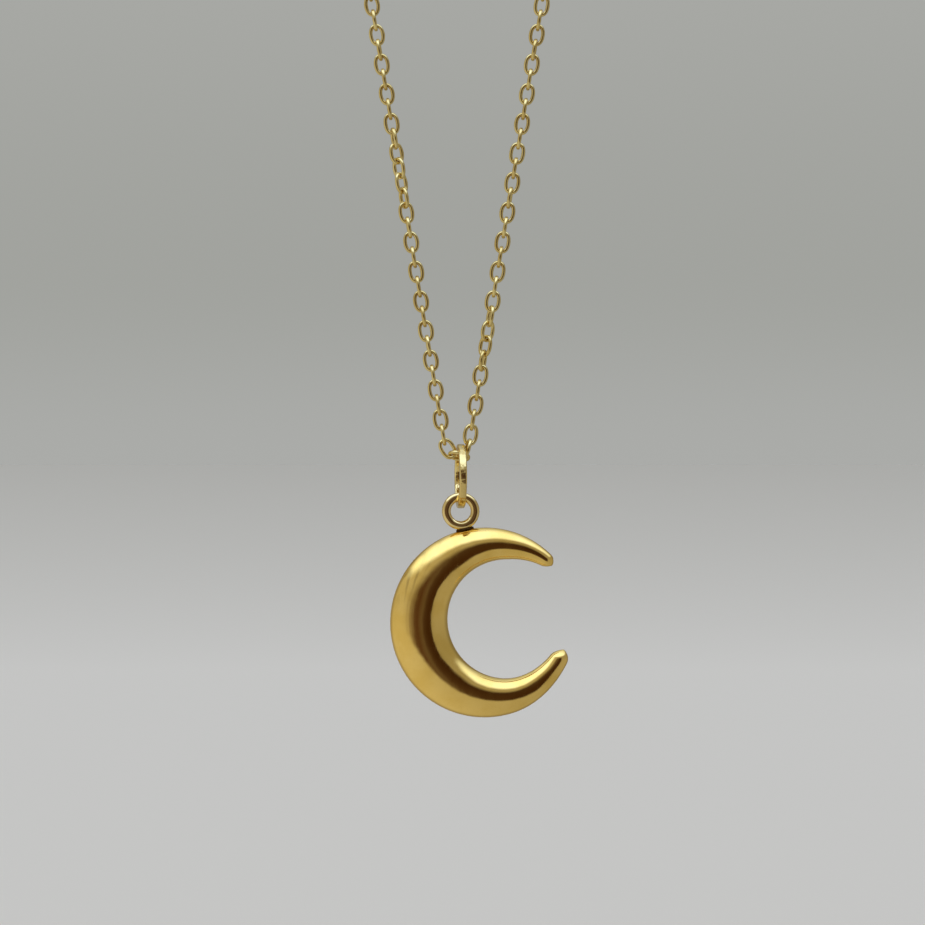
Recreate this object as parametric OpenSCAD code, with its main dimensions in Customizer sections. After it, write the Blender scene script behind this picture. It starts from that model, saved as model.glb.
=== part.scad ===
// Pendant necklace: oval-link cable chain, lobster clasp, jump ring and crescent pendant.
// It hangs from two round pegs that are not part of it.
// Origin: midway between the two peg centres. +Z up, the pendant faces -Y. Millimetres.

/* [Chain] */
// Distance from one link to the next
link_pitch = 1.5; // [1.2:0.05:2.2]
// Wire diameter of a chain link
link_wire = 0.38; // [0.3:0.01:0.5]
// Outer width of a chain link
link_width = 1.6; // [1.4:0.05:2.2]
// Running gap between two linked wires
link_gap = 0.02; // [0.01:0.01:0.06]
// Links in each straight strand
strand_links = 126; // [90:1:170]
// Lean of each strand away from the vertical, degrees
strand_lean = 9.4; // [5:0.1:14]

/* [Hanging] */
// Bends that take the chain over one peg
peg_bends = 6; // [5:1:9]
// Downward slope of the run between the pegs, degrees
run_slope = 6; // [3:0.5:10]

/* [Jump ring] */
// Diameter of the jump ring through the centre of its wire
ring_size = 5.84; // [5:0.02:7]
// Wire diameter of the jump ring
ring_wire = 0.75; // [0.6:0.05:0.9]
// Turn of the pendant and its ring about the vertical, degrees
pendant_turn = 5; // [0:1:12]

/* [Pendant] */
// Outer radius of the crescent
moon_radius = 9.5; // [7:0.1:14]
// Radius of the round opening
moon_inner = 5.95; // [4:0.05:9]
// Sideways shift of the round opening
moon_shift = 2.2; // [1:0.05:3.5]
// Upward shift of the round opening
moon_rise = 0.35; // [0:0.05:0.8]
// Depth of the crescent at its widest place
moon_depth = 3.9; // [2.5:0.1:6]
// Outer diameter of the eye that is soldered to the crescent
eye_size = 3.78; // [3.2:0.02:5]
// Wire diameter of the eye
eye_wire = 0.9; // [0.6:0.05:1.2]

/* [Clasp] */
// Length of the lobster clasp between its two end walls
clasp_length = 9.6; // [8:0.2:14]
// Thickness of the clasp body
clasp_thick = 1.8; // [1.6:0.05:1.9]
// Outer height of the hook
hook_height = 6; // [5:0.1:8]
// Wall around the hook and the clasp's eye
clasp_wall = 1.1; // [0.9:0.05:1.3]
// Wire diameter of the two end rings
end_wire = 0.6; // [0.4:0.05:0.7]

/* [Hidden] */

gold = [0.83, 0.66, 0.30];
chain_gold = [0.80, 0.68, 0.34];
steel = [0.70, 0.70, 0.68];
eps = 0.01;
wire_fn = 24;

// ---- link shape ----
bend_r = (link_width - link_wire) / 2;
// how far a link's wire centre lies past the pivot it shares with its neighbour
hook_over = (link_wire + link_gap) / 2;
half_link = link_pitch / 2 + hook_over;

module torus(r, wire, turn = 360, fn = 48)
    rotate_extrude(angle = turn, $fn = fn) translate([r, 0]) circle(d = wire, $fn = wire_fn);

// A link along Z, its width along X.
module link() {
    side = half_link - bend_r;
    for (s = [1, -1])
        translate([0, 0, s * side]) rotate([90, 0, 0]) rotate([0, 0, s > 0 ? 0 : 180])
            torus(bend_r, link_wire, 180, 36);
    for (s = [1, -1])
        translate([s * bend_r, 0, -side]) cylinder(h = 2 * side, d = link_wire, $fn = wire_fn);
}

// ---- the hanging loop ----
peg_turn = (90 + strand_lean + run_slope) / peg_bends;
peg_path = link_pitch / (2 * sin(peg_turn / 2));
first_vertex = strand_lean - peg_turn / 2;
strand_half = 1.2533;
strand_top_x = strand_half + strand_links * link_pitch * sin(strand_lean);
peg_x = strand_top_x - peg_path * cos(first_vertex);
strand_z = -(strand_links * link_pitch * cos(strand_lean) + peg_path * sin(first_vertex));

// Pivot i of a strand, measured outwards from the middle and upwards.
function arc_point(m) = let (h = strand_lean - (m + 0.5) * peg_turn)
    [peg_x + peg_path * cos(h), -peg_path * sin(h)];
function pivot(i) =
    i <= strand_links
        ? [strand_half + i * link_pitch * sin(strand_lean), strand_z + i * link_pitch * cos(strand_lean)]
    : i <= strand_links + peg_bends - 1 ? arc_point(i - strand_links)
    : let (p = arc_point(peg_bends - 1), j = i - strand_links - peg_bends + 1)
        [p[0] - j * link_pitch * cos(run_slope), p[1] - j * link_pitch * sin(run_slope)];

// ---- the run between the pegs and its two end rings ----
end_gap = 0.05;
min_ring = 2.7;
run_start = arc_point(peg_bends - 1);
run_reach = (run_start[0] - clasp_length / 2) / cos(run_slope);
ring_room = min_ring - (end_wire + clasp_wall) / 2 - (link_wire + end_wire) / 2 - 2 * end_gap + hook_over;
run_links = floor((run_reach - ring_room) / link_pitch);
end_ring_size = run_reach - (run_links * link_pitch + hook_over) + (link_wire + end_wire) / 2
    + (end_wire + clasp_wall) / 2 + 2 * end_gap;
last_link = strand_links + peg_bends - 1 + run_links;
ring_near = run_links * link_pitch + hook_over - (link_wire + end_wire) / 2 - end_gap;
ring_mid = ring_near + end_ring_size / 2;
end_ring_x = run_start[0] - ring_mid * cos(run_slope);
end_ring_z = run_start[1] - ring_mid * sin(run_slope);
clasp_z = run_start[1] - run_reach * sin(run_slope);

// ---- turn of each link about its own length ----
twist_step = 15;
peg_twist = 45;
peg_from = strand_links - 3;
peg_to = strand_links + peg_bends;
end_twist = last_link % 2 == 0 ? 0 : 90;
function clampv(v, lo, hi) = min(hi, max(lo, v));
function left_low(i) = 48 * exp(-pow((i - 18.5) / 2.2, 2));
function right_low(i) = i < 2 ? -72 : i < 6 ? -90 : i < 11 ? -90 - 18 * (i - 5) : -180;
function high(i) = i <= peg_from ? 0
    : i < peg_to ? min(peg_twist, twist_step * (i - peg_from))
    : let (t = twist_step * (i - peg_to + 1))
        end_twist > peg_twist ? min(end_twist, peg_twist + t) : max(end_twist, peg_twist - t);
function jitter(i, s) = i % 5 == 2 ? 5 * sin(s * 40 + i * 77) : 0;
function roll(i, s) = 90 * (i % 2) + (s < 0 ? left_low(i) : right_low(i)) + high(i) + jitter(i, s);

module strand(s, from, to) color(chain_gold)
    for (i = [from:to]) {
        a = pivot(i - 1);
        b = pivot(i);
        lean = atan2(b[0] - a[0], b[1] - a[1]);
        translate([s * (a[0] + b[0]) / 2, 0, (a[1] + b[1]) / 2])
            rotate([0, s * lean, 0]) rotate([0, 0, roll(i, s)]) link();
    }

// First link of each movable stretch, counted from the bottom.
cuts = [5, 25, 45, 65, 85, 105, strand_links - 3];

// ---- the three links under the jump ring ----
cluster_turn = 7.87;
cluster = [0.2164, 0.35, strand_z - 1.3916];
bottom_roll = 58;
bottom_tilt = 93;
module placed(low_end, lean_x, lean_y, turn)
    translate(low_end) rotate([0, lean_x, 0]) rotate([-lean_y, 0, 0]) rotate([0, 0, turn])
        translate([0, 0, half_link]) link();
module in_cluster() translate([cluster[0], 0, cluster[2]]) rotate([0, cluster_turn, 0]) children();

// ---- jump ring ----
contact_z = 0.32;
contact_y = -0.167;
hang_gap = 0.012;
ring_pos = [cluster[0] + 0.17, contact_y,
    cluster[2] + contact_z + (link_wire + ring_wire) / 2 + hang_gap - ring_size / 2];
ring_cut = 0.8;

// ---- pendant ----
eye_r = (eye_size - eye_wire) / 2;
eye_gap = 0.045;
eye_pos = [ring_pos[0], ring_pos[1],
    ring_pos[2] - ring_size / 2 + ring_wire / 2 + eye_gap + eye_wire / 2 - eye_r];
moon_bearing = 12.3;
moon_far = moon_radius + eye_size / 2 + eps;
tip_top = 40;
tip_low = 341;
top_round = 0.8;
low_round = 1.1;
tip_radius = 8.6;
tip_power = 0.75;
top_inset = 0.42;
top_from = 70;
top_full = 44;
low_inset = 0.27;
low_from = 288;
low_full = 332;
solder_start = 0.2;
solder_tall = 0.95;
solder_thin = 0.9;
solder_wide = 1.5;
moon_rings = 72;
moon_sides = 22;
crest_skew = 0.05;
moon_wide = moon_radius - moon_inner + moon_shift;

// The lower arm lies a little inside its circle, and the upper arm's inner edge a little outside it.
function inset(t) = let (k = clampv((t - low_from) / (low_full - low_from), 0, 1)) low_inset * k * k * (3 - 2 * k);
function outset(t) = top_inset * pow(clampv((top_from - t) / (top_from - top_full), 0, 1), 1.2);
function ray(t) = moon_shift * cos(t) + moon_rise * sin(t);
function inner_at(t) = ray(t) + sqrt(moon_inner * moon_inner - moon_shift * moon_shift
    - moon_rise * moon_rise + ray(t) * ray(t)) - inset(t) + outset(t);
function outer_at(t) = moon_radius - inset(t);
function tip_gap(t) = min((t - tip_top) / top_round, (tip_low - t) / low_round) * PI / 180 * tip_radius;
function ending(t) = let (f = 1 - clampv(tip_gap(t), 0, 1)) pow(max(0, 1 - f * f), tip_power);
function moon_point(t, v) = let (o = outer_at(t), n = inner_at(t), w = (o - n) * ending(t), mid = (o + n) / 2,
        h = moon_depth * pow((o - n) / moon_wide, 0.8) * ending(t),
        r = mid + w / 2 * (cos(v) - crest_skew * pow(sin(v), 2)))
    [r * cos(t), h / 2 * sin(v), r * sin(t)];
module moon_body() {
    angles = [for (i = [1:moon_rings - 1])
        tip_top + (tip_low - tip_top) * (0.5 - 0.5 * cos(180 * i / moon_rings))];
    count = len(angles);
    points = concat([for (t = angles) for (j = [0:moon_sides - 1]) moon_point(t, 360 * j / moon_sides)],
        [moon_point(tip_top, 0), moon_point(tip_low, 0)]);
    sides = [for (i = [0:count - 2]) for (j = [0:moon_sides - 1])
        let (a = i * moon_sides + j, b = i * moon_sides + (j + 1) % moon_sides)
        each [[a, b, b + moon_sides], [a, b + moon_sides, a + moon_sides]]];
    first = [for (j = [0:moon_sides - 1]) [(j + 1) % moon_sides, j, count * moon_sides]];
    base = (count - 1) * moon_sides;
    last = [for (j = [0:moon_sides - 1]) [base + j, base + (j + 1) % moon_sides, count * moon_sides + 1]];
    polyhedron(points = points, faces = concat(sides, first, last), convexity = 6);
}
module in_pendant() translate(eye_pos) rotate([0, 0, pendant_turn]) children();

// ---- clasp, along X, its eye at the left ----
half_clasp = clasp_length / 2;
eye_hole = 1.5;
clasp_eye_x = -half_clasp + (clasp_wall + eye_hole) / 2;
hook_r = hook_height / 2;
hook_x = half_clasp + clasp_wall / 2 - hook_r;
throat_x = hook_x - 1.4;
throat_r = hook_r - clasp_wall - 0.5;
pivot_x = hook_x - 3.7;
pivot_z = 1.3;
pin_d = 0.7;
pin_gap = 0.04;
lever_hub = 0.62;
lever_thick = 0.9;
slot_gap = 0.08;
gate_gap = 0.08;
gate_start = hook_x - 2.05;
gate_reach = hook_x + 1.25 - pivot_x;
flare = 0.46;
gate_low = 0.95;
pocket_left = pivot_x - 0.9;
pocket_right = gate_start + 0.4;
pocket_floor = -0.6;
thumb_x = gate_start + 0.2;
thumb_r = 0.55;
spring_x = pivot_x + 1;
spring_d = 0.8;
spring_wire = 0.15;
spring_turns = 4;
spring_rise = gate_low - gate_gap - pocket_floor - spring_wire;
spring_steps = 18;
spring_sides = 8;

// A round or a flat outline standing in the XZ plane, drawn through the clasp's thickness.
module disc(x, z, r, thick) translate([x, 0, z]) rotate([90, 0, 0])
    cylinder(h = thick, r = r, center = true, $fn = 64);
module plate(points, thick) rotate([90, 0, 0]) translate([0, 0, -thick / 2])
    linear_extrude(height = thick) polygon(points);
module slab(x1, x2, z1, z2, thick) translate([x1, -thick / 2, z1]) cube([x2 - x1, thick, z2 - z1]);
module at_clasp() translate([0, 0, clasp_z]) children();

eye_out = eye_hole / 2 + clasp_wall;
shoulder_x = hook_x - 0.9;
module clasp_solid(thick) union() {
    disc(clasp_eye_x, 0, eye_out, thick);
    disc(hook_x, 0, hook_r, thick);
    plate([[clasp_eye_x, eye_out - 0.06], [clasp_eye_x, -eye_out + 0.06],
        [shoulder_x, -hook_r + 0.16], [shoulder_x, hook_r - 0.16]], thick);
}
module clasp_opening(thick) {
    disc(hook_x, 0, hook_r - clasp_wall, thick);
    disc(throat_x, 0, throat_r, thick);
}
// A round hole that widens towards both faces, so that a ring can pass round the wall beside it.
module flared(x, r) translate([x, 0, 0]) for (s = [1, -1]) rotate([s * 90, 0, 0])
    cylinder(h = clasp_thick, r1 = r, r2 = r + flare * clasp_thick, $fn = 64);
// The space that the lever fills and swings through, its far end an arc about the pin.
module gate(reach) intersection() {
    slab(pivot_x, half_clasp, gate_low, hook_height, 2 * clasp_thick);
    disc(pivot_x, pivot_z, reach, 2 * clasp_thick);
}
// ---- pieces ----
module left_chain_1() strand(-1, cuts[0], cuts[1] - 1);
module left_chain_2() strand(-1, cuts[1], cuts[2] - 1);
module left_chain_3() strand(-1, cuts[2], cuts[3] - 1);
module left_chain_4() strand(-1, cuts[3], cuts[4] - 1);
module left_chain_5() strand(-1, cuts[4], cuts[5] - 1);
module left_chain_6() strand(-1, cuts[5], cuts[6] - 1);
module right_chain_1() strand(1, cuts[0], cuts[1] - 1);
module right_chain_2() strand(1, cuts[1], cuts[2] - 1);
module right_chain_3() strand(1, cuts[2], cuts[3] - 1);
module right_chain_4() strand(1, cuts[3], cuts[4] - 1);
module right_chain_5() strand(1, cuts[4], cuts[5] - 1);
module right_chain_6() strand(1, cuts[5], cuts[6] - 1);
module left_peg_links() strand(-1, cuts[6], strand_links + peg_bends - 1);
module right_peg_links() strand(1, cuts[6], strand_links + peg_bends - 1);
module left_run_links() strand(-1, strand_links + peg_bends, last_link);
module right_run_links() strand(1, strand_links + peg_bends, last_link);

module left_tail_links() color(chain_gold) {
    strand(-1, 1, cuts[0] - 1);
    in_cluster() placed([-0.63, 0.183, -0.154], -40, -7, 12);
}
module right_tail_links() color(chain_gold) {
    strand(1, 1, cuts[0] - 1);
    in_cluster() placed([0.559, -0.047, -0.156], strand_lean, 1.6, -78);
}
module bottom_link() color(chain_gold)
    in_cluster() translate([0, cluster[1], 0]) rotate([0, bottom_tilt, 0]) rotate([0, 0, bottom_roll]) link();

module jump_ring() color(gold) translate(ring_pos) rotate([0, 0, pendant_turn]) rotate([0, 90, 0])
    rotate([0, 0, 150]) torus(ring_size / 2, ring_wire, 360 - ring_cut, 72);

module eye_ring() color(gold) in_pendant() rotate([90, 0, 0]) torus(eye_r, eye_wire, 360, 64);
module solder_joint() color(gold) in_pendant() rotate([0, 180 - moon_bearing, 0])
    translate([0, 0, eye_r + solder_start])
        cylinder(h = solder_tall, d1 = solder_thin, d2 = solder_wide, $fn = 32);
module crescent() color(gold) in_pendant()
    translate([moon_far * sin(moon_bearing), 0, -moon_far * cos(moon_bearing)]) moon_body();

module end_ring() color(gold) translate([-end_ring_x, 0, end_ring_z]) rotate([0, run_slope, 0])
    rotate([0, 0, 60]) torus(end_ring_size / 2, end_wire, 360 - 2, 48);
module clasp_ring() color(gold) translate([end_ring_x, 0, end_ring_z]) rotate([0, -run_slope, 0])
    torus(end_ring_size / 2, end_wire, 360, 48);

module clasp_body() color(gold) at_clasp() difference() {
    clasp_solid(clasp_thick);
    flared(hook_x, hook_r - clasp_wall);
    flared(throat_x, throat_r);
    flared(clasp_eye_x, eye_hole / 2);
    intersection() {
        gate(gate_reach);
        slab(gate_start, half_clasp, gate_low, hook_height, 2 * clasp_thick);
    }
    slab(pocket_left, pocket_right, pocket_floor, hook_height, lever_thick + 2 * slot_gap);
    disc(pivot_x, pivot_z, pin_d / 2, 2 * clasp_thick);
}
module clasp_lever() color(gold) at_clasp() difference() {
    union() {
        disc(pivot_x, pivot_z, lever_hub, lever_thick);
        disc(thumb_x, hook_r - 0.3, thumb_r, lever_thick);
        intersection() {
            difference() {
                clasp_solid(lever_thick);
                clasp_opening(2 * clasp_thick);
            }
            gate(gate_reach - gate_gap);
        }
    }
    disc(pivot_x, pivot_z, pin_d / 2 + pin_gap, 2 * clasp_thick);
}
module clasp_pin() color(steel) at_clasp() translate([pivot_x, 0, pivot_z]) rotate([90, 0, 0])
    cylinder(h = clasp_thick - 0.1, d = pin_d - 2 * eps, center = true, $fn = 32);
module clasp_spring() color(steel) at_clasp() translate([spring_x, 0, pocket_floor + spring_wire / 2 + 0.02]) {
    steps = spring_turns * spring_steps;
    coil_r = (spring_d - spring_wire) / 2;
    points = [for (i = [0:steps]) for (j = [0:spring_sides - 1])
        let (a = 360 * i / spring_steps, b = 360 * j / spring_sides, r = coil_r + spring_wire / 2 * cos(b))
        [r * cos(a), r * sin(a), spring_rise * i / steps + spring_wire / 2 * sin(b)]];
    sides = [for (i = [0:steps - 1]) for (j = [0:spring_sides - 1])
        let (p = i * spring_sides + j, q = i * spring_sides + (j + 1) % spring_sides)
        each [[p, q, q + spring_sides], [p, q + spring_sides, p + spring_sides]]];
    ends = [[for (j = [spring_sides - 1:-1:0]) j], [for (j = [0:spring_sides - 1]) steps * spring_sides + j]];
    polyhedron(points = points, faces = concat(sides, ends), convexity = 8);
}

left_chain_1();
left_chain_2();
left_chain_3();
left_chain_4();
left_chain_5();
left_chain_6();
right_chain_1();
right_chain_2();
right_chain_3();
right_chain_4();
right_chain_5();
right_chain_6();
left_peg_links();
right_peg_links();
left_run_links();
right_run_links();
left_tail_links();
right_tail_links();
bottom_link();
jump_ring();
eye_ring();
solder_joint();
crescent();
end_ring();
clasp_ring();
clasp_body();
clasp_lever();
clasp_pin();
clasp_spring();
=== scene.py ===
"""A pendant necklace: fine cable chain, jump ring, crescent pendant and lobster clasp, in gold."""
import math
import random

import bmesh
import bpy
import numpy as np
from mathutils import Matrix, Vector


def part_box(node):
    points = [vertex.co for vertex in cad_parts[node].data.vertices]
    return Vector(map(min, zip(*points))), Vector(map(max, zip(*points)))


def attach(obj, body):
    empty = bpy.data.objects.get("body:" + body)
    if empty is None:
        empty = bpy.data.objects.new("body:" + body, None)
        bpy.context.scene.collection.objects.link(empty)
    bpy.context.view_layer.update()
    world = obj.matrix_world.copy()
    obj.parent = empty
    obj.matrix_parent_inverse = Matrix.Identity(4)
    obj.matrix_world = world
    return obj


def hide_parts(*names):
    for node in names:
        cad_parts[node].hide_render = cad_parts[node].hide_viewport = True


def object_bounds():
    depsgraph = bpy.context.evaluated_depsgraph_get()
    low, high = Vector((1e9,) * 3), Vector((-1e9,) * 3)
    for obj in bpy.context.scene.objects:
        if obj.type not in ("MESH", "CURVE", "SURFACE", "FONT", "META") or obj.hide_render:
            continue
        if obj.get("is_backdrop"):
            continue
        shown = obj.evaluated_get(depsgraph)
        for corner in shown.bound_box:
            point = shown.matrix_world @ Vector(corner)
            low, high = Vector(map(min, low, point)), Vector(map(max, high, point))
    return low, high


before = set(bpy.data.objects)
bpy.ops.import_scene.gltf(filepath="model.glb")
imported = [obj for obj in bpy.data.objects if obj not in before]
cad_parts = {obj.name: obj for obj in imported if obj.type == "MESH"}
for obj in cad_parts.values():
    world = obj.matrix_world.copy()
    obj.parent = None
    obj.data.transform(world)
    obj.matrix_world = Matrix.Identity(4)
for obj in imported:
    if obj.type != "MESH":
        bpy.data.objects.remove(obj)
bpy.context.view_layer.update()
random.seed(11)
MM = 0.001

# ---------------------------------------------------------------- node helpers


class Value:
    """A shader number that can be written as arithmetic."""

    def __init__(self, tree, socket):
        self.tree, self.socket = tree, socket

    def combine(self, kind, *others):
        node = self.tree.nodes.new("ShaderNodeMath")
        node.operation = kind
        for slot, value in zip(node.inputs, (self,) + others):
            if isinstance(value, Value):
                self.tree.links.new(value.socket, slot)
            else:
                slot.default_value = value
        return Value(self.tree, node.outputs[0])

    def __add__(self, other):
        return self.combine("ADD", other)

    def __mul__(self, other):
        return self.combine("MULTIPLY", other)

    def power(self, other):
        return self.combine("POWER", other)

    def smooth(self, lo, hi, out_lo=0.0, out_hi=1.0, kind="SMOOTHSTEP"):
        """A soft step, or an even one, from out_lo below lo to out_hi above hi."""
        node = self.tree.nodes.new("ShaderNodeMapRange")
        node.interpolation_type = kind
        self.tree.links.new(self.socket, node.inputs[0])
        for slot, value in zip(node.inputs[1:5], (lo, hi, out_lo, out_hi)):
            slot.default_value = value
        return Value(self.tree, node.outputs[0])


def mix_colour(tree, factor, a, b, blend="MIX"):
    node = tree.nodes.new("ShaderNodeMix")
    node.data_type = "RGBA"
    node.blend_type = blend
    for slot, value in ((node.inputs[0], factor), (node.inputs[6], a), (node.inputs[7], b)):
        if isinstance(value, Value):
            tree.links.new(value.socket, slot)
        elif isinstance(value, bpy.types.NodeSocket):
            tree.links.new(value, slot)
        elif isinstance(value, (int, float)):
            slot.default_value = value
        else:
            slot.default_value = (*value, 1.0)
    return node.outputs[2]


def noise(tree, scale, detail=3.0, rough=0.55, stretch=(1, 1, 1)):
    """Noise in the piece's own space, its features 1 / scale metres across."""
    place = tree.nodes.new("ShaderNodeTexCoord")
    mapping = tree.nodes.new("ShaderNodeMapping")
    mapping.inputs["Scale"].default_value = stretch
    tree.links.new(place.outputs["Object"], mapping.inputs[0])
    node = tree.nodes.new("ShaderNodeTexNoise")
    node.inputs["Scale"].default_value = scale
    node.inputs["Detail"].default_value = detail
    node.inputs["Roughness"].default_value = rough
    tree.links.new(mapping.outputs[0], node.inputs["Vector"])
    return Value(tree, node.outputs["Fac"])


def bump(tree, height, strength, distance, below=None):
    node = tree.nodes.new("ShaderNodeBump")
    node.inputs["Strength"].default_value = strength
    node.inputs["Distance"].default_value = distance
    tree.links.new(height.socket, node.inputs["Height"])
    if below:
        tree.links.new(below, node.inputs["Normal"])
    return node.outputs[0]


def metal(name, light, deep, rough, grain, wave, dents=330):
    """Polished metal: two tones, uneven polish, fine scratches and slight waviness.
    rough is the least and most roughness, grain and wave the bump depths in metres,
    dents the number of waves in a metre."""
    material = bpy.data.materials.new(name)
    material.use_nodes = True
    tree = material.node_tree
    shader = tree.nodes["Principled BSDF"]
    shader.inputs["Metallic"].default_value = 1.0
    shader.inputs["Specular Tint"].default_value = (1.0, 0.93, 0.78, 1.0)
    patches = noise(tree, 420, 4)
    tree.links.new(mix_colour(tree, patches.smooth(0.35, 0.68), light, deep),
                   shader.inputs["Base Color"])
    scuffs = noise(tree, 2600, 5, 0.65, (1, 1, 0.18))
    polish = scuffs * 0.6 + patches * 0.4
    tree.links.new(polish.smooth(0.36, 0.66, *rough).socket, shader.inputs["Roughness"])
    broad = bump(tree, noise(tree, dents, 2, 0.4), 1.0, wave)
    lines = bump(tree, noise(tree, 9000, 3, 0.6, (1, 0.25, 0.08)), 1.0, grain, broad)
    tree.links.new(lines, shader.inputs["Normal"])
    return material


GOLD = metal("polished_gold", (0.91, 0.630, 0.175), (0.85, 0.57, 0.135),
             (0.06, 0.15), 1.6e-6, 6.0e-5)
RING_GOLD = metal("ring_gold", (0.87, 0.67, 0.28), (0.79, 0.58, 0.21),
                  (0.08, 0.19), 1.2e-6, 2.0e-5, 1300)
DENTED_GOLD = metal("dented_ring_gold", (0.85, 0.67, 0.27), (0.74, 0.55, 0.19),
                    (0.07, 0.17), 1.0e-6, 7.0e-5, 2200)
CHAIN_GOLD = metal("chain_gold", (0.79, 0.63, 0.25), (0.68, 0.50, 0.165),
                   (0.12, 0.26), 1.0e-6, 2.0e-5, 1300)
# Near-black solder: partly its own tarnish, partly painted shade for the shadowed crevice under the
# eye.
SOLDER = metal("tarnished_solder_and_painted_shade", (0.10, 0.050, 0.014), (0.035, 0.016, 0.005),
               (0.35, 0.62), 1.5e-6, 1.2e-5)
STEEL = metal("spring_steel", (0.62, 0.60, 0.56), (0.48, 0.46, 0.43),
              (0.18, 0.34), 3.0e-7, 1.0e-6)

# ---------------------------------------------------------------- mesh helpers


def piece(name, verts, faces, material, body, slot, *nodes):
    """A smooth closed mesh that rides on a body and stands for CAD nodes."""
    mesh = bpy.data.meshes.new(name)
    mesh.from_pydata(np.asarray(verts).tolist(), [], faces)
    mesh.validate()
    shape = bmesh.new()
    shape.from_mesh(mesh)
    bmesh.ops.recalc_face_normals(shape, faces=shape.faces)
    shape.to_mesh(mesh)
    shape.free()
    mesh.shade_smooth()
    mesh.materials.append(material)
    obj = bpy.data.objects.new(name, mesh)
    bpy.context.scene.collection.objects.link(obj)
    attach(obj, body)
    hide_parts(*nodes)


def grid_faces(rings, sides, closed=True):
    """Quads of a tube of rings x sides points, capped at both ends unless it is closed."""
    faces = []
    for i in range(rings if closed else rings - 1):
        k = (i + 1) % rings
        for j in range(sides):
            m = (j + 1) % sides
            faces.append((i * sides + j, k * sides + j, k * sides + m, i * sides + m))
    if not closed:
        last = (rings - 1) * sides
        faces.append(tuple(range(sides)))
        faces.append(tuple(last + j for j in reversed(range(sides))))
    return faces


def power_circle(v, exponent):
    """A unit circle, fuller at its corners for an exponent above 2."""
    c, s = np.cos(v), np.sin(v)
    return (np.sign(c) * np.abs(c) ** (2 / exponent), np.sign(s) * np.abs(s) ** (2 / exponent))


def loop_tube(length, width, wire, rings, sides, oval=2.0, flat=2.0, thin=1.0, cut=0.0, seam=None):
    """A wire bent to a loop in the XZ plane, all sizes through the wire's centre.
    oval and flat are the loop's and the wire's roundness, thin the wire's depth in the loop's plane,
    cut an open angle at the top, seam a place with a slight solder bulge."""
    if cut:
        t = np.linspace(cut / 2, 2 * np.pi - cut / 2, rings)
    else:
        t = np.arange(rings) * 2 * np.pi / rings
    px, pz = power_circle(t + np.pi / 2, oval)
    px, pz = px * width / 2, pz * length / 2
    d = 1e-3
    ax, az = power_circle(t + np.pi / 2 + d, oval)
    bx, bz = power_circle(t + np.pi / 2 - d, oval)
    tx, tz = (ax - bx) * width, (az - bz) * length
    size = np.hypot(tx, tz)
    nx, nz = tz / size, -tx / size
    v = np.arange(sides) * 2 * np.pi / sides
    out, side = power_circle(v, flat)
    swell = np.ones(rings)
    if seam is not None:
        away = (t - seam + np.pi) % (2 * np.pi) - np.pi
        swell += 0.07 * np.exp(-(away / 0.16) ** 2)
    if cut:
        swell[0] = swell[-1] = 0.9
    r = wire / 2 * swell[:, None]
    x = px[:, None] + nx[:, None] * r * out * thin
    z = pz[:, None] + nz[:, None] * r * out * thin
    y = np.repeat(side[None, :], rings, 0) * r
    return np.stack((x, y, z), 2).reshape(-1, 3), grid_faces(rings, sides, not cut)


def solids_of(node):
    """Each separate solid of a CAD node: its centre and its axes, shortest first."""
    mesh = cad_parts[node].data
    mesh.calc_loop_triangles()
    co = np.empty(len(mesh.vertices) * 3, np.float32)
    mesh.vertices.foreach_get("co", co)
    tri = np.empty(len(mesh.loop_triangles) * 3, np.int32)
    mesh.loop_triangles.foreach_get("vertices", tri)
    co, weld = np.unique(co.reshape(-1, 3), axis=0, return_inverse=True)
    tri = weld.reshape(-1)[tri].reshape(-1, 3)
    label = np.arange(len(co))
    while True:
        low = label[tri].min(axis=1)
        new = label.copy()
        for k in range(3):
            np.minimum.at(new, tri[:, k], low)
        new = new[new]
        if (new == label).all():
            break
        label = new
    found = []
    corner = co[tri].astype(float)
    area = np.linalg.norm(np.cross(corner[:, 1] - corner[:, 0], corner[:, 2] - corner[:, 0]), axis=1)
    middle = corner.mean(axis=1)
    owner = label[tri[:, 0]]
    for one in np.unique(owner):
        pick = owner == one
        weight, point = area[pick], middle[pick]
        centre = (point * weight[:, None]).sum(0) / weight.sum()
        gap = point - centre
        _, axes = np.linalg.eigh((gap * weight[:, None]).T @ gap)
        found.append((centre, axes.T))
    return found


def turned(axes):
    """Columns X = width, Y = thickness, Z = length, right-handed."""
    thick, wide, long = axes
    if long[2] < 0:
        long = -long
    thick = np.cross(long, wide)
    return np.stack((wide, thick, long), 1)


# ---------------------------------------------------------------- chain

LINK_LONG, LINK_WIDE, LINK_WIRE = 1.90 * MM, 1.22 * MM, 0.38 * MM
LINK_RINGS, LINK_SIDES = 44, 14


def chain_piece(name, node, body):
    """Every link of a chain node as a slightly uneven oval of round wire with its solder seam."""
    verts, faces = [], []
    for centre, axes in sorted(solids_of(node), key=lambda s: (s[0][2], s[0][0])):
        co, quads = loop_tube(LINK_LONG, LINK_WIDE, LINK_WIRE, LINK_RINGS, LINK_SIDES,
                              oval=random.uniform(2.12, 2.38), flat=2.15, thin=0.97,
                              seam=random.choice((0.5, 1.5)) * math.pi)
        faces += [tuple(v + len(verts) * len(co) for v in q) for q in quads]
        verts.append(co @ turned(axes).T + centre)
    piece(name, np.concatenate(verts), faces, CHAIN_GOLD, body, "chain_gold", node)


for row in range(1, 7):
    for side in ("left", "right"):
        chain_piece(f"{side}_links_{row}", f"{side}_chain_{row}", f"chain_{row}")
for side in ("left", "right"):
    chain_piece(f"{side}_links_on_peg", f"{side}_peg_links", "top_chain")
    chain_piece(f"{side}_links_of_run", f"{side}_run_links", "top_chain")
    chain_piece(f"{side}_links_at_ring", f"{side}_tail_links", "chain_tail")
chain_piece("link_in_ring", "bottom_link", "chain_tail")

# ---------------------------------------------------------------- rings


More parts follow.
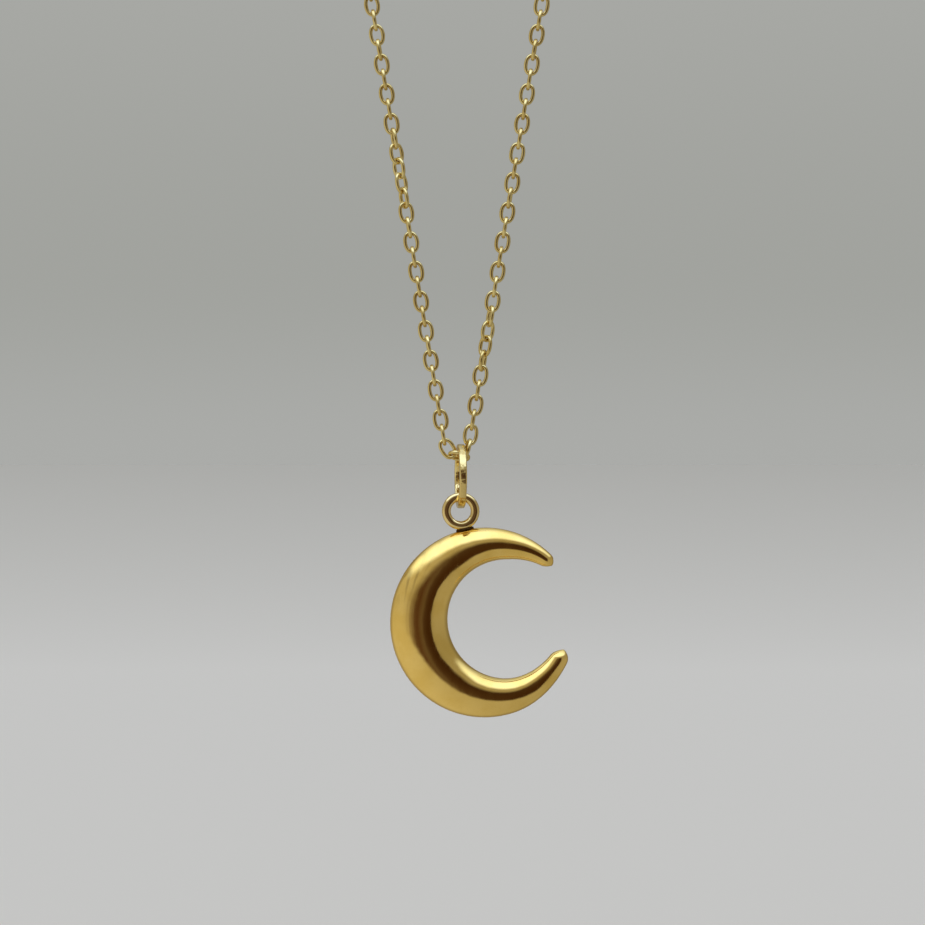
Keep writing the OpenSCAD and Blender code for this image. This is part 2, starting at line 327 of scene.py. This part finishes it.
def middle_of(node):
    lo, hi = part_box(node)
    return (np.array(lo) + np.array(hi)) / 2


CUT_ANGLE = math.radians(0.9)  # the hairline where a ring is closed


def ring_piece(name, node, body, size, wire, cut_at=None, flat=2.0, thin=1.0, rings=128, sides=36,
               material=RING_GOLD):
    """A ring of wire in the plane of its CAD node, its cut, if any, toward the direction cut_at."""
    centre = middle_of(node)
    axis = solids_of(node)[0][1][0]
    up = np.array(cut_at if cut_at is not None else (0.0, 0.0, 1.0))
    up = up - axis * up.dot(axis)
    up /= np.linalg.norm(up)
    across = np.cross(axis, up)
    co, quads = loop_tube(size, size, wire, rings, sides, flat=flat, thin=thin,
                          cut=CUT_ANGLE if cut_at is not None else 0.0)
    co = co @ np.stack((across, axis, up)) + centre
    piece(name, co, quads, material, body, "gold", node)


lo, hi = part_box("jump_ring")
RING_WIRE = 0.75 * MM
ring_piece("jump_ring_wire", "jump_ring", "ring", hi[2] - lo[2] - RING_WIRE, RING_WIRE,
           cut_at=(0.0, 0.5, 0.866), flat=4.0, thin=0.80, material=DENTED_GOLD)
lo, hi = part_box("eye_ring")
EYE_WIRE = 0.9 * MM
ring_piece("eye", "eye_ring", "pendant", hi[2] - lo[2] - EYE_WIRE, EYE_WIRE, flat=2.7, thin=0.98)
END_WIRE = 0.6 * MM
for name, node, cut_at in (("chain_end_ring", "end_ring", (0.5, 0.866, 0.0)),
                           ("clasp_end_ring", "clasp_ring", None)):
    lo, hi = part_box(node)
    ring_piece(name, node, "clasp", hi[1] - lo[1] - END_WIRE, END_WIRE, cut_at, flat=2.1,
               rings=96, sides=24)

# ---------------------------------------------------------------- crescent

# Sizes in mm: the pendant's turn and lean, the crescent's outer and inner circles, how far the inner
# one lies off centre, the depth, and the distance of the crescent's middle from the eye's.
TURN = math.radians(5)
BEARING = math.radians(12.3)
MOON_R, MOON_IN, MOON_SHIFT, MOON_RISE, MOON_DEEP = 9.5, 5.95, 2.2, 0.35, 3.9
MOON_FAR = 11.40
# The tips: their angles round the crescent, how they round off, and where each one draws in.
TIP_TOP, TIP_LOW, TIP_RADIUS, TIP_POWER = math.radians(40), math.radians(341), 8.6, 0.75
TOP_ROUND, LOW_ROUND, SKEW = 0.8, 1.1, 0.05
TOP_INSET, TOP_FROM, TOP_FULL = 0.42, math.radians(70), math.radians(44)
LOW_INSET, LOW_FROM, LOW_FULL = 0.27, math.radians(288), math.radians(332)


def moon_rows(t, v):
    """Points of the puffed crescent for angles t round it and v round its section, in mm."""
    t, v = t[:, None], v[None, :]
    k = np.clip((t - LOW_FROM) / (LOW_FULL - LOW_FROM), 0, 1)
    inset = LOW_INSET * k * k * (3 - 2 * k)
    outset = TOP_INSET * np.clip((TOP_FROM - t) / (TOP_FROM - TOP_FULL), 0, 1) ** 1.2
    ray = MOON_SHIFT * np.cos(t) + MOON_RISE * np.sin(t)
    inner = ray + np.sqrt(MOON_IN ** 2 - MOON_SHIFT ** 2 - MOON_RISE ** 2 + ray ** 2) - inset + outset
    outer = MOON_R - inset
    gap = np.minimum((t - TIP_TOP) / TOP_ROUND, (TIP_LOW - t) / LOW_ROUND) * TIP_RADIUS
    ending = np.clip(1 - (1 - np.clip(gap, 0, 1)) ** 2, 0, 1) ** TIP_POWER
    wide = (outer - inner) * ending
    deep = MOON_DEEP * ((outer - inner) / (MOON_R - MOON_IN + MOON_SHIFT)) ** 0.8 * ending
    r = (outer + inner) / 2 + wide / 2 * (np.cos(v) - SKEW * np.sin(v) ** 2)
    return np.stack((r * np.cos(t), deep / 2 * np.sin(v), r * np.sin(t)), 2)


turn = np.array(Matrix.Rotation(TURN, 3, "Z"))
eye_at = middle_of("eye_ring")
MOON_ROWS, MOON_SIDES = 260, 84


def pointed_faces(rows, sides):
    """Quads of a tube, closed to a point at each end, whose two points come after all the others."""
    faces = [f for f in grid_faces(rows, sides, False) if len(f) == 4]
    faces += [(j, (j + 1) % sides, rows * sides) for j in range(sides)]
    last = (rows - 1) * sides
    faces += [(last + (j + 1) % sides, last + j, rows * sides + 1) for j in range(sides)]
    return faces


# The rows are closer together towards the tips.
share = 0.5 - 0.5 * np.cos(np.pi * np.arange(1, MOON_ROWS) / MOON_ROWS)
t = TIP_TOP + (TIP_LOW - TIP_TOP) * share
v = np.arange(MOON_SIDES) * 2 * np.pi / MOON_SIDES
tips = moon_rows(np.array([TIP_TOP, TIP_LOW]), np.zeros(1)).reshape(-1, 3)
points = np.concatenate((moon_rows(t, v).reshape(-1, 3), tips))
points += np.array((MOON_FAR * math.sin(BEARING), 0, -MOON_FAR * math.cos(BEARING)))
piece("crescent_moon", points * MM @ turn.T + eye_at, pointed_faces(len(t), MOON_SIDES), GOLD,
      "pendant", "gold", "crescent")

# ---------------------------------------------------------------- solder fillet

# Half sizes of the lump of solder, and how far its middle lies below the eye's, in mm.
SOLDER_WIDE, SOLDER_DEEP, SOLDER_TALL, SOLDER_DROP = 0.92, 0.44, 0.27, 1.90
SOLDER_ROWS, SOLDER_SIDES = 23, 40
spin = np.arange(SOLDER_SIDES) * 2 * np.pi / SOLDER_SIDES
lift = np.linspace(-1, 1, SOLDER_ROWS + 2)[1:-1] * np.pi / 2
verts = np.array([(SOLDER_WIDE * math.cos(e) * math.cos(a), SOLDER_DEEP * math.cos(e) * math.sin(a),
                   SOLDER_TALL * math.sin(e)) for e in lift for a in spin])
lumps = (1 + 0.05 * np.sin(verts[:, 0] * 9 + 1) * np.cos(verts[:, 1] * 12)
         + 0.03 * np.sin(verts[:, 2] * 21))
verts = np.concatenate((verts * lumps[:, None], [(0, 0, -SOLDER_TALL), (0, 0, SOLDER_TALL)]))
verts[:, 2] -= SOLDER_DROP
lean = np.array(Matrix.Rotation(-BEARING, 3, "Y"))
piece("solder_fillet", verts * MM @ lean.T @ turn.T + eye_at, pointed_faces(SOLDER_ROWS, SOLDER_SIDES),
      SOLDER, "pendant", "solder", "solder_joint")

# ---------------------------------------------------------------- clasp


def softened(name, node, body, voxel, rounds):
    """The cast clasp pieces: the CAD node's shape with its edges melted to a small radius."""
    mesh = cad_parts[node].data.copy()
    mesh.name = name
    mesh.materials.clear()
    mesh.materials.append(RING_GOLD)
    obj = bpy.data.objects.new(name, mesh)
    bpy.context.scene.collection.objects.link(obj)
    weld = obj.modifiers.new("weld", "WELD")
    weld.merge_threshold = 1e-7
    remesh = obj.modifiers.new("remesh", "REMESH")
    remesh.mode = "VOXEL"
    remesh.voxel_size = voxel
    smooth = obj.modifiers.new("smooth", "SMOOTH")
    smooth.factor, smooth.iterations = 0.5, rounds
    bpy.context.view_layer.update()
    shape = bpy.data.meshes.new_from_object(obj.evaluated_get(bpy.context.evaluated_depsgraph_get()))
    obj.modifiers.clear()
    obj.data = shape
    shape.name = name
    shape.shade_smooth()
    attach(obj, body)
    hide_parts(node)


softened("clasp_hook_body", "clasp_body", "clasp", 0.045 * MM, 7)
softened("clasp_gate", "clasp_lever", "lever", 0.035 * MM, 5)

lo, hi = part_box("clasp_pin")
pin_r, pin_half = (hi[0] - lo[0]) / 2, (hi[1] - lo[1]) / 2
# Radius and place along the pin, as shares of its own, with riveted ends.
PIN_PROFILE = [(0.55, -1.0), (0.85, -0.985), (0.97, -0.95), (1.0, -0.9), (1.0, -0.4), (1.0, 0.4),
               (1.0, 0.9), (0.97, 0.95), (0.85, 0.985), (0.55, 1.0)]
PIN_SIDES = 36
around = np.arange(PIN_SIDES) * 2 * np.pi / PIN_SIDES
verts = np.array([(r * pin_r * math.cos(a), y * pin_half, r * pin_r * math.sin(a))
                  for r, y in PIN_PROFILE for a in around]) + middle_of("clasp_pin")
piece("hinge_pin", verts, grid_faces(len(PIN_PROFILE), PIN_SIDES, False), STEEL,
      "clasp", "steel", "clasp_pin")

lo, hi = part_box("clasp_spring")
SPRING_WIRE, TURNS, PER_TURN, SPRING_SIDES = 0.15 * MM, 4, 36, 14
coil_r = (hi[0] - lo[0] - SPRING_WIRE) / 2
coil_mid = middle_of("clasp_spring")
rise = hi[2] - lo[2] - SPRING_WIRE
steps = TURNS * PER_TURN
verts = []
for i in range(steps + 1):
    a = 2 * math.pi * i / PER_TURN
    for j in range(SPRING_SIDES):
        b = 2 * math.pi * j / SPRING_SIDES
        r = coil_r + SPRING_WIRE / 2 * math.cos(b)
        verts.append((coil_mid[0] + r * math.cos(a), coil_mid[1] + r * math.sin(a),
                      lo[2] + SPRING_WIRE / 2 + rise * i / steps + SPRING_WIRE / 2 * math.sin(b)))
piece("gate_spring", verts, grid_faces(steps + 1, SPRING_SIDES, False), STEEL, "clasp", "steel",
      "clasp_spring")

# ---------------------------------------------------------------- floor, light and camera

FLOOR_Z, FLOOR_HALF = -0.49, 600.0
CAMERA_X, CAMERA_Z, CAMERA_FAR = 0.000566, -0.18856, 0.42
VIEW_WIDE = 0.0925
EYE_LEVEL = 0.30
SENSOR = 36
LAMP_AT, LAMP_AIM = Vector((0.1, -0.5, 0.75)), Vector((0, 0, -0.15))
LAMP_WIDE, LAMP_DEEP, LAMP_POWER = 0.9, 0.6, 2.0
# Floor colours far and near: the darker far colour is painted shade for the light falling off with
# distance.
FLOOR_FAR, FLOOR_NEAR = (0.490, 0.425, 0.293), (0.675, 0.585, 0.415)


def floor_material():
    """A pale matt floor whose colour darkens evenly towards the horizon, painted shade for the light
    falling off, to meet the wall behind it.
    """
    material = bpy.data.materials.new("pale_floor")
    material.use_nodes = True
    tree = material.node_tree
    shader = tree.nodes["Principled BSDF"]
    shader.inputs["Roughness"].default_value = 0.85
    shader.inputs["Specular IOR Level"].default_value = 0.1
    place = tree.nodes.new("ShaderNodeNewGeometry")
    length = tree.nodes.new("ShaderNodeVectorMath")
    length.operation = "LENGTH"
    tree.links.new(place.outputs["Position"], length.inputs[0])
    # About how far below the horizon each place is seen: the camera's height over its distance.
    dip = (Value(tree, length.outputs["Value"]) + 0.01).power(-1.0) * EYE_LEVEL
    # Painted shade: the floor's colour goes from the near to the darker far colour as it recedes.
    tint = mix_colour(tree, dip.smooth(0.0, 0.052, kind="LINEAR"), FLOOR_FAR, FLOOR_NEAR)
    tree.links.new(tint, shader.inputs["Base Color"])
    return material


mesh = bpy.data.meshes.new("studio_floor")
h = FLOOR_HALF
mesh.from_pydata([(-h, -h, FLOOR_Z), (h, -h, FLOOR_Z), (h, h, FLOOR_Z), (-h, h, FLOOR_Z)], [],
                 [(0, 1, 2, 3)])
mesh.materials.append(floor_material())
floor = bpy.data.objects.new("studio_floor", mesh)
bpy.context.scene.collection.objects.link(floor)
floor.visible_glossy = False
floor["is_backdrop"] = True

world = bpy.data.worlds.new("studio")
bpy.context.scene.world = world
world.use_nodes = True
tree = world.node_tree
place = tree.nodes.new("ShaderNodeTexCoord")
split = tree.nodes.new("ShaderNodeSeparateXYZ")
tree.links.new(place.outputs["Generated"], split.inputs[0])
x, y, z = (Value(tree, s) for s in split.outputs)

# A dark room behind the camera: it fades out to the left and has a hard edge at the right.
across = tree.nodes.new("ShaderNodeValToRGB")
ramp = across.color_ramp
ramp.interpolation = "LINEAR"
ROOM = ((-0.80, 0.00), (-0.62, 0.10), (-0.53, 0.32), (-0.47, 0.22), (-0.42, 0.38), (-0.38, 0.66),
        (-0.35, 0.54), (-0.29, 0.80), (-0.26, 0.70), (-0.19, 0.95), (-0.05, 1.00), (0.06, 0.92),
        (0.16, 0.87), (0.26, 0.97), (0.44, 1.00), (0.565, 1.00), (0.595, 0.92), (0.61, 0.20),
        (0.66, 0.10), (0.80, 0.0))
while len(ramp.elements) < len(ROOM):
    ramp.elements.new(0.5)
for stop, (at, level) in zip(ramp.elements, ROOM):
    stop.position, stop.color = (at + 1) / 2, (level, level, level, 1)
tree.links.new((x * 0.5 + 0.5).socket, across.inputs[0])
# The room's lower edge falls to the right.
lower, upper = (z + x * 0.28).smooth(-0.34, -0.20), z.smooth(0.18, 0.42, 1.0, 0.0)
dark = Value(tree, across.outputs[0]) * lower * upper * y.smooth(-0.1, 0.1, 1.0, 0.0)
# A wide soft light above and in front, as a share of its colour.
panel = z.smooth(0.48, 0.68) * y.smooth(-0.35, 0.55, 1.0, 0.25)
# Side walls, the left one brighter, and the pale ground.
walls = x.smooth(-0.9, 0.9, 0.66, 0.42) * z.smooth(-0.2, 0.3, 1.0, 0.86)
behind = y.smooth(0.15, 0.75, 1.0, 0.62)
# Slanting bars in the left part of the room, seen as fine streaks.
bars = (x * 26 + z * 7).combine("SINE").smooth(0.2, 1.0)
streak = bars * z.smooth(0.1, 0.5) * x.smooth(-0.2, -0.45)
room = walls * behind * (streak * -0.35 + 1.0)
shadow = mix_colour(tree, x.smooth(0.0, 0.36), (0.17, 0.085, 0.05), (0.115, 0.054, 0.028))
bright = mix_colour(tree, dark, (1, 0.985, 0.95), shadow)
scaled = tree.nodes.new("ShaderNodeVectorMath")
scaled.operation = "SCALE"
tree.links.new(bright, scaled.inputs[0])
tree.links.new(room.socket, scaled.inputs["Scale"])
daylight = mix_colour(tree, panel, (0, 0, 0), (0.95, 1.25, 2.10))
lit = mix_colour(tree, 1.0, scaled.outputs[0], daylight, "ADD")
reflected = tree.nodes.new("ShaderNodeBackground")
tree.links.new(lit, reflected.inputs[0])

backdrop = tree.nodes.new("ShaderNodeBackground")
grade = mix_colour(tree, z.smooth(0.0, 0.045), (0.405, 0.410, 0.395), (0.360, 0.366, 0.344))
grade = mix_colour(tree, z.smooth(0.045, 0.14), grade, (0.395, 0.400, 0.380))
tree.links.new(grade, backdrop.inputs[0])
rays = tree.nodes.new("ShaderNodeLightPath")
choose = tree.nodes.new("ShaderNodeMixShader")
tree.links.new(rays.outputs["Is Camera Ray"], choose.inputs[0])
tree.links.new(reflected.outputs[0], choose.inputs[1])
tree.links.new(backdrop.outputs[0], choose.inputs[2])
output = tree.nodes.get("World Output") or tree.nodes.new("ShaderNodeOutputWorld")
tree.links.new(choose.outputs[0], output.inputs[0])

lamp = bpy.data.lights.new("overhead_softbox", "AREA")
lamp.shape, lamp.size, lamp.size_y, lamp.energy = "RECTANGLE", LAMP_WIDE, LAMP_DEEP, LAMP_POWER
softbox = bpy.data.objects.new("overhead_softbox", lamp)
softbox.location = LAMP_AT
softbox.rotation_euler = (LAMP_AIM - LAMP_AT).to_track_quat("-Z", "Y").to_euler()
bpy.context.scene.collection.objects.link(softbox)
softbox.visible_glossy = False

camera = bpy.data.objects.new("camera", bpy.data.cameras.new("camera"))
bpy.context.scene.collection.objects.link(camera)
camera.data.sensor_width = SENSOR
camera.data.lens = SENSOR * CAMERA_FAR / VIEW_WIDE
camera.location = (CAMERA_X, -CAMERA_FAR, CAMERA_Z)
camera.rotation_euler = (math.radians(90), 0, 0)
bpy.context.scene.camera = camera
bpy.context.scene.view_settings.view_transform = "Standard"

lo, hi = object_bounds()
